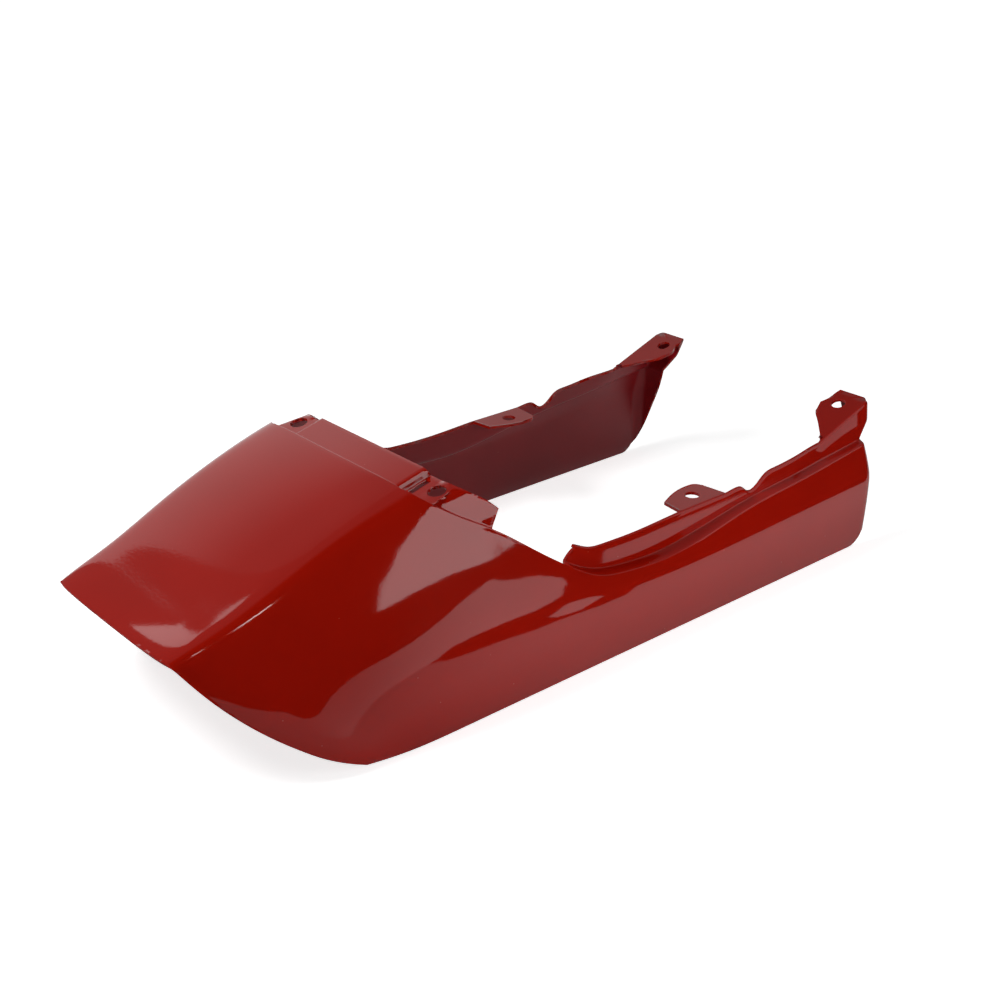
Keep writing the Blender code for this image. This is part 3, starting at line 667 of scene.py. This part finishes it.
painted_shell = bpy.data.objects.new("painted_shell", shell_mesh)
bpy.context.scene.collection.objects.link(painted_shell)
mirror = painted_shell.modifiers.new("other_half", "MIRROR")
mirror.merge_threshold = MERGE
wall = painted_shell.modifiers.new("wall", "SOLIDIFY")
wall.thickness = WALL
wall.offset = -1.0
wall.use_even_offset = False
wall.material_offset = 1
wall.material_offset_rim = 0
soft_edge = painted_shell.modifiers.new("soft_edges", "BEVEL")
soft_edge.width = 0.0007
soft_edge.segments = 2
soft_edge.limit_method = "ANGLE"
soft_edge.angle_limit = math.radians(55.0)
shell_mesh.shade_smooth()


# Lacquered red: a slightly wavy clear skin with fine orange peel and a few dust nibs. The
# inside has a darker and duller coat of the same paint.
def orange_peel_group():
    group = bpy.data.node_groups.new("orange_peel", "ShaderNodeTree")
    face = group.interface
    face.new_socket(name="Coordinates", in_out="INPUT", socket_type="NodeSocketVector")
    face.new_socket(name="Peel Depth", in_out="INPUT", socket_type="NodeSocketFloat")
    face.new_socket(name="Height", in_out="OUTPUT", socket_type="NodeSocketFloat")
    face.new_socket(name="Nibs", in_out="OUTPUT", socket_type="NodeSocketFloat")
    nodes, links = group.nodes, group.links
    inside = nodes.new("NodeGroupInput")
    outside = nodes.new("NodeGroupOutput")
    fine = nodes.new("ShaderNodeTexNoise")
    fine.inputs["Scale"].default_value = 420.0
    fine.inputs["Detail"].default_value = 2.0
    broad = nodes.new("ShaderNodeTexNoise")
    broad.inputs["Scale"].default_value = 38.0
    broad.inputs["Detail"].default_value = 1.0
    cells = nodes.new("ShaderNodeTexVoronoi")
    cells.inputs["Scale"].default_value = 62.0
    nib = nodes.new("ShaderNodeMapRange")
    nib.inputs["From Min"].default_value = 0.035
    nib.inputs["From Max"].default_value = 0.0
    depth = nodes.new("ShaderNodeMath")
    depth.operation = "MULTIPLY"
    waves = nodes.new("ShaderNodeMath")
    waves.operation = "MULTIPLY_ADD"
    waves.inputs[1].default_value = 0.8
    for texture in (fine, broad, cells):
        links.new(inside.outputs["Coordinates"], texture.inputs["Vector"])
    links.new(fine.outputs["Fac"], depth.inputs[0])
    links.new(inside.outputs["Peel Depth"], depth.inputs[1])
    links.new(broad.outputs["Fac"], waves.inputs[0])
    links.new(depth.outputs[0], waves.inputs[2])
    links.new(cells.outputs["Distance"], nib.inputs["Value"])
    links.new(waves.outputs[0], outside.inputs["Height"])
    links.new(nib.outputs["Result"], outside.inputs["Nibs"])
    return group


orange_peel = orange_peel_group()


def lacquered_paint(name, deep, bright, peel, gloss, rough):
    """Red base coat that varies a little in depth, with the peel and the nibs in its lacquer."""
    material = bpy.data.materials.new(name)
    material.use_nodes = True
    nodes, links = material.node_tree.nodes, material.node_tree.links
    shader = nodes["Principled BSDF"]
    shader.inputs["IOR"].default_value = 1.5
    place = nodes.new("ShaderNodeTexCoord")
    lacquer = nodes.new("ShaderNodeGroup")
    lacquer.node_tree = orange_peel
    lacquer.inputs["Peel Depth"].default_value = peel
    cloud = nodes.new("ShaderNodeTexNoise")
    cloud.inputs["Scale"].default_value = 9.0
    cloud.inputs["Detail"].default_value = 3.0
    tone = nodes.new("ShaderNodeValToRGB")
    tone.color_ramp.elements[0].position = 0.35
    tone.color_ramp.elements[0].color = (*deep, 1.0)
    tone.color_ramp.elements[1].position = 0.65
    tone.color_ramp.elements[1].color = (*bright, 1.0)
    dusty = nodes.new("ShaderNodeMix")
    dusty.data_type = "RGBA"
    dusty.inputs["B"].default_value = (0.55, 0.12, 0.10, 1.0)
    haze = nodes.new("ShaderNodeMapRange")
    haze.inputs["To Min"].default_value = gloss
    haze.inputs["To Max"].default_value = rough
    bump = nodes.new("ShaderNodeBump")
    bump.inputs["Distance"].default_value = 0.000014
    links.new(place.outputs["Object"], lacquer.inputs["Coordinates"])
    links.new(place.outputs["Object"], cloud.inputs["Vector"])
    links.new(cloud.outputs["Fac"], tone.inputs["Fac"])
    links.new(lacquer.outputs["Nibs"], dusty.inputs["Factor"])
    links.new(tone.outputs["Color"], dusty.inputs["A"])
    links.new(dusty.outputs["Result"], shader.inputs["Base Color"])
    links.new(cloud.outputs["Fac"], haze.inputs["Value"])
    links.new(haze.outputs["Result"], shader.inputs["Roughness"])
    links.new(lacquer.outputs["Height"], bump.inputs["Height"])
    links.new(bump.outputs["Normal"], shader.inputs["Normal"])
    return material


shell_mesh.materials.append(lacquered_paint(
    "lacquered_red", (0.40, 0.0066, 0.0010), (0.44, 0.0076, 0.0014), 1.0, 0.03, 0.07))
shell_mesh.materials.append(lacquered_paint(
    "inside_red", (0.26, 0.0035, 0.0070), (0.32, 0.0045, 0.0090), 2.2, 0.26, 0.42))

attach(painted_shell, "root")
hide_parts("tail_fairing")

# Pale table: a matt white board under the part. The camera sees it as white, from its colour
# and a glow of its own that rises with the distance, and the part's shadow stays on it.
TABLE_GAP = 0.0005
TABLE_GLOW = 0.78
table_bm = bmesh.new()
bmesh.ops.create_circle(table_bm, cap_ends=True, segments=96, radius=6.0)
table_mesh = bpy.data.meshes.new("table_top")
table_bm.to_mesh(table_mesh)
table_bm.free()
table_top = bpy.data.objects.new("table_top", table_mesh)
bpy.context.scene.collection.objects.link(table_top)
table_top.location.z = cad_box[0][2] - TABLE_GAP
pale = bpy.data.materials.new("pale_board")
pale.use_nodes = True
nodes, links = pale.node_tree.nodes, pale.node_tree.links
board = nodes["Principled BSDF"]
board.inputs["Base Color"].default_value = (0.88, 0.88, 0.88, 1.0)
board.inputs["Roughness"].default_value = 0.9
board.inputs["Specular IOR Level"].default_value = 0.0
board.inputs["Emission Color"].default_value = (1.0, 1.0, 1.0, 1.0)
table_place = nodes.new("ShaderNodeTexCoord")
reach = nodes.new("ShaderNodeVectorMath")
reach.operation = "LENGTH"
far_glow = nodes.new("ShaderNodeMapRange")
far_glow.inputs["From Min"].default_value = 0.3
far_glow.inputs["From Max"].default_value = 0.9
far_glow.inputs["To Min"].default_value = TABLE_GLOW
far_glow.inputs["To Max"].default_value = 1.0
table_rays = nodes.new("ShaderNodeLightPath")
seen = nodes.new("ShaderNodeMath")
seen.operation = "MULTIPLY"
links.new(table_place.outputs["Object"], reach.inputs[0])
links.new(reach.outputs["Value"], far_glow.inputs["Value"])
links.new(far_glow.outputs["Result"], seen.inputs[0])
links.new(table_rays.outputs["Is Camera Ray"], seen.inputs[1])
links.new(seen.outputs[0], board.inputs["Emission Strength"])
table_mesh.materials.append(pale)

# White surroundings: a weak even light from all sides, and plain white wherever the camera,
# a reflection or a look through something clear gets past the studio
world = bpy.data.worlds.new("surroundings")
bpy.context.scene.world = world
world.use_nodes = True
nodes, links = world.node_tree.nodes, world.node_tree.links
room_light = nodes["Background"]
room_light.inputs["Color"].default_value = (1.0, 1.0, 1.0, 1.0)
room_light.inputs["Strength"].default_value = 0.07
white = nodes.new("ShaderNodeBackground")
white.inputs["Color"].default_value = (1.0, 1.0, 1.0, 1.0)
rays = nodes.new("ShaderNodeLightPath")
glossy = nodes.new("ShaderNodeMath")
glossy.operation = "MAXIMUM"
clear = nodes.new("ShaderNodeMath")
clear.operation = "MAXIMUM"
either = nodes.new("ShaderNodeMixShader")
links.new(rays.outputs["Is Camera Ray"], glossy.inputs[0])
links.new(rays.outputs["Is Glossy Ray"], glossy.inputs[1])
links.new(glossy.outputs[0], clear.inputs[0])
links.new(rays.outputs["Is Transmission Ray"], clear.inputs[1])
links.new(clear.outputs[0], either.inputs["Fac"])
links.new(room_light.outputs["Background"], either.inputs[1])
links.new(white.outputs["Background"], either.inputs[2])
links.new(either.outputs["Shader"], nodes["World Output"].inputs["Surface"])


# Painted reflections of the studio outside the picture, glowing shapes that only the gloss shows:
# dark drapes and dark cloth round a white board on the table with painted shade near the part,
# white cards beside the part, soft boxes above, and small bright shapes that paint highlights
def painted_reflection_piece(name, bm, strength, fades=()):
    """A glowing painted reflection. Each fade is an axis, where it starts and ends, and the last
    share.
    """
    mesh = bpy.data.meshes.new(name)
    bm.to_mesh(mesh)
    bm.free()
    piece = bpy.data.objects.new(name, mesh)
    bpy.context.scene.collection.objects.link(piece)
    piece.visible_camera = False
    piece.visible_diffuse = False
    piece.visible_shadow = False
    glow = bpy.data.materials.new(name)
    glow.use_nodes = True
    nodes, links = glow.node_tree.nodes, glow.node_tree.links
    glow_surface = nodes["Principled BSDF"]
    glow_surface.inputs["Base Color"].default_value = (0.0, 0.0, 0.0, 1.0)
    glow_surface.inputs["Specular IOR Level"].default_value = 0.0
    glow_surface.inputs["Emission Color"].default_value = (1.0, 1.0, 1.0, 1.0)
    glow_surface.inputs["Emission Strength"].default_value = strength
    where = nodes.new("ShaderNodeTexCoord")
    before = None
    for axis, start, end, last in fades:
        slant = nodes.new("ShaderNodeVectorMath")
        slant.operation = "DOT_PRODUCT"
        slant.inputs[1].default_value = axis
        falling = nodes.new("ShaderNodeMapRange")
        falling.interpolation_type = "SMOOTHSTEP"
        falling.inputs["From Min"].default_value = start
        falling.inputs["From Max"].default_value = end
        falling.inputs["To Min"].default_value = 1.0
        falling.inputs["To Max"].default_value = last
        share = nodes.new("ShaderNodeMath")
        share.operation = "MULTIPLY"
        share.inputs[1].default_value = strength
        links.new(where.outputs["Object"], slant.inputs[0])
        links.new(slant.outputs["Value"], falling.inputs["Value"])
        links.new(falling.outputs["Result"], share.inputs[0])
        if before:
            links.new(before.outputs[0], share.inputs[1])
        before = share
    if before:
        links.new(before.outputs[0], glow_surface.inputs["Emission Strength"])
    mesh.materials.append(glow)


def cut_painted_reflection(name, corners, strength, fades=()):
    """A flat painted reflection of any outline, glowing as the function above makes it."""
    bm = bmesh.new()
    ring = bmesh.ops.create_circle(bm, cap_ends=True, segments=len(corners), radius=1.0)["verts"]
    for vert, corner in zip(ring, corners):
        vert.co = corner
    bmesh.ops.triangulate(bm, faces=bm.faces)
    painted_reflection_piece(name, bm, strength, fades)


def upright_painted_reflection(name, x, outline, strength, fades=()):
    cut_painted_reflection(name, [(x, y, z) for y, z in outline], strength, fades)


def flat_painted_reflection(name, z, outline, strength, fades=()):
    cut_painted_reflection(name, [(x, y, z) for x, y in outline], strength, fades)


# Painted reflection of a dim room all round, lighter towards the part's left, and of dark cloth on
# the floor beyond the board
room_reflection_bm = bmesh.new()
bmesh.ops.create_uvsphere(room_reflection_bm, u_segments=48, v_segments=24, radius=4.0)
painted_reflection_piece("painted_room_reflection", room_reflection_bm, 0.20, (((1.0, 0.0, 0.0), -0.3, 0.9, 0.075),))
flat_painted_reflection("painted_dark_cloth_reflection", -0.0004, ((-3.9, -3.9), (3.9, -3.9), (3.9, 3.9), (-3.9, 3.9)), 0.015)
# Painted reflection of the white board, dimmed into painted shade towards the part and towards its
# rear
flat_painted_reflection("painted_board_reflection", -0.0003, (
    (-0.3, -0.47), (0.38, -0.47), (0.38, -0.072), (0.31, -0.07), (0.283, -0.06), (0.262, -0.04),
    (0.25, -0.02), (0.236, 0.0), (0.233, 0.02), (0.226, 0.04), (0.219, 0.06), (0.219, 0.095),
    (0.235, 0.115), (0.248, 0.13), (0.248, 1.0), (-0.3, 1.0),
), 0.80, (((1.0, 0.0, 0.0), 0.215, 0.14, 0.66), ((0.0, 1.0, 0.0), 0.02, -0.24, 0.48)))
# Painted shade: the board under and between the arms, dimmer as the gloss sees it
flat_painted_reflection("painted_board_shade", -0.0002, ((-0.13, -0.30), (0.13, -0.30), (0.12, 0.33), (-0.12, 0.33)),
          0.30)
# Painted highlight: a brighter patch of the board beside the right arm
flat_painted_reflection("painted_gap_highlight", -0.0001, ((0.232, 0.05), (0.245, 0.032), (0.262, 0.035), (0.278, 0.055),
                                 (0.30, 0.08), (0.318, 0.10), (0.31, 0.125), (0.285, 0.115),
                                 (0.262, 0.10), (0.245, 0.075)), 1.2)
# Painted reflection of a white card to the right of the part, dimmer towards the rear
upright_painted_reflection("painted_right_card_reflection", 0.38, (
    (-0.50, 0.0), (-0.46, 0.045), (-0.42, 0.054), (-0.38, 0.08), (-0.34, 0.10), (-0.30, 0.118),
    (-0.28, 0.105), (-0.26, 0.092), (-0.20, 0.087), (-0.14, 0.092), (-0.10, 0.098),
    (-0.06, 0.111), (-0.02, 0.128), (0.02, 0.139), (0.06, 0.153), (0.08, 0.140), (0.10, 0.126),
    (0.14, 0.10), (0.165, 0.085), (0.165, 0.068), (0.145, 0.055), (0.14, 0.03), (0.12, 0.012),
    (0.10, 0.0), (0.04, 0.0), (0.0, 0.006), (-0.04, 0.010), (-0.06, 0.0),
), 1.38, (((0.0, 1.0, 0.0), 0.05, -0.30, 0.29),))
# Painted reflection of a soft box far to the right
upright_painted_reflection("painted_soft_box_reflection", 1.5, (
    (-0.11, 0.74), (0.27, 0.64), (0.9, 0.56), (0.98, 1.75), (0.45, 1.62), (0.17, 1.33),
    (0.0, 1.2), (-0.08, 1.0),
), 2.75)
# Painted highlight on the shelf's shoulder facet, from a small bright card just beside it
upright_painted_reflection("painted_facet_highlight", 0.125, ((-0.105, 0.137), (-0.06, 0.137), (-0.06, 0.178),
                                   (-0.105, 0.178)), 2.7)
# Painted reflection of a white card to the left, dimmer upwards and forwards
upright_painted_reflection("painted_left_card_reflection", -0.3, ((-0.284, 0.0), (0.7, 0.0), (0.7, 0.90), (-0.284, 0.90)), 0.92,
             (((0.0, -0.3, 1.0), 0.34, 0.50, 0.29), ((0.0, 1.0, 0.0), 0.08, 0.30, 0.45)))
# Painted highlight on the deck's rear edge, from a bright card above and left of the tail
upright_painted_reflection("painted_rear_edge_highlight", -0.16, ((-0.293, 0.285), (-0.305, 0.262), (-0.33, 0.235), (-0.345, 0.50),
                                  (-0.312, 0.42), (-0.304, 0.36)), 2.1)
# Painted reflection along the right arm's flange, from a strip just outside the arm
upright_painted_reflection("painted_flange_reflection", 0.152, ((0.113, 0.073), (0.163, 0.081), (0.22, 0.085),
                                     (0.28, 0.091), (0.34, 0.096), (0.34, 0.25), (0.113, 0.25)),
             0.75)
# Painted highlight: the bright streak along the deck's right shoulder, from a small very bright box
upright_painted_reflection("painted_shoulder_streak", 0.80, ((-0.51, 0.84), (-0.46, 0.84), (-0.46, 0.92), (-0.51, 0.92)), 12.0)


# Two soft boxes light the part plainly: one high behind it, one low beside its right arm.
# Reflections don't show them, because the painted reflections stand for them there.
def soft_lamp(name, place, aim, size, power):
    """The light that a soft box throws, spread over its square cloth."""
    lamp = bpy.data.lights.new(name, "AREA")
    lamp.shape = "SQUARE"
    lamp.size = size
    lamp.energy = power
    box = bpy.data.objects.new(name, lamp)
    box.location = place
    box.rotation_euler = (Vector(aim) - Vector(place)).to_track_quat("-Z", "Y").to_euler()
    box.visible_glossy = False
    bpy.context.scene.collection.objects.link(box)


soft_lamp("rear_lamp", (-0.25, -0.72, 1.0), (0.0, -0.15, 0.1), 0.4, 7.0)
soft_lamp("side_lamp", (0.68, 0.13, 0.27), (0.14, 0.13, 0.05), 0.4, 1.45)

# Camera at the photograph's viewing angle, 24.5 degrees above the table and behind the
# part's right side
lens = bpy.data.cameras.new("viewer")
lens.sensor_width = 36.0
lens.lens = 53.286
camera = bpy.data.objects.new("viewer", lens)
camera.location = (0.8163, -0.6871, 0.5706)
camera.rotation_euler = (math.radians(90.0 - 24.51), 0.0, math.radians(49.26))
bpy.context.scene.collection.objects.link(camera)
bpy.context.scene.camera = camera
bpy.context.scene.view_settings.view_transform = "Standard"
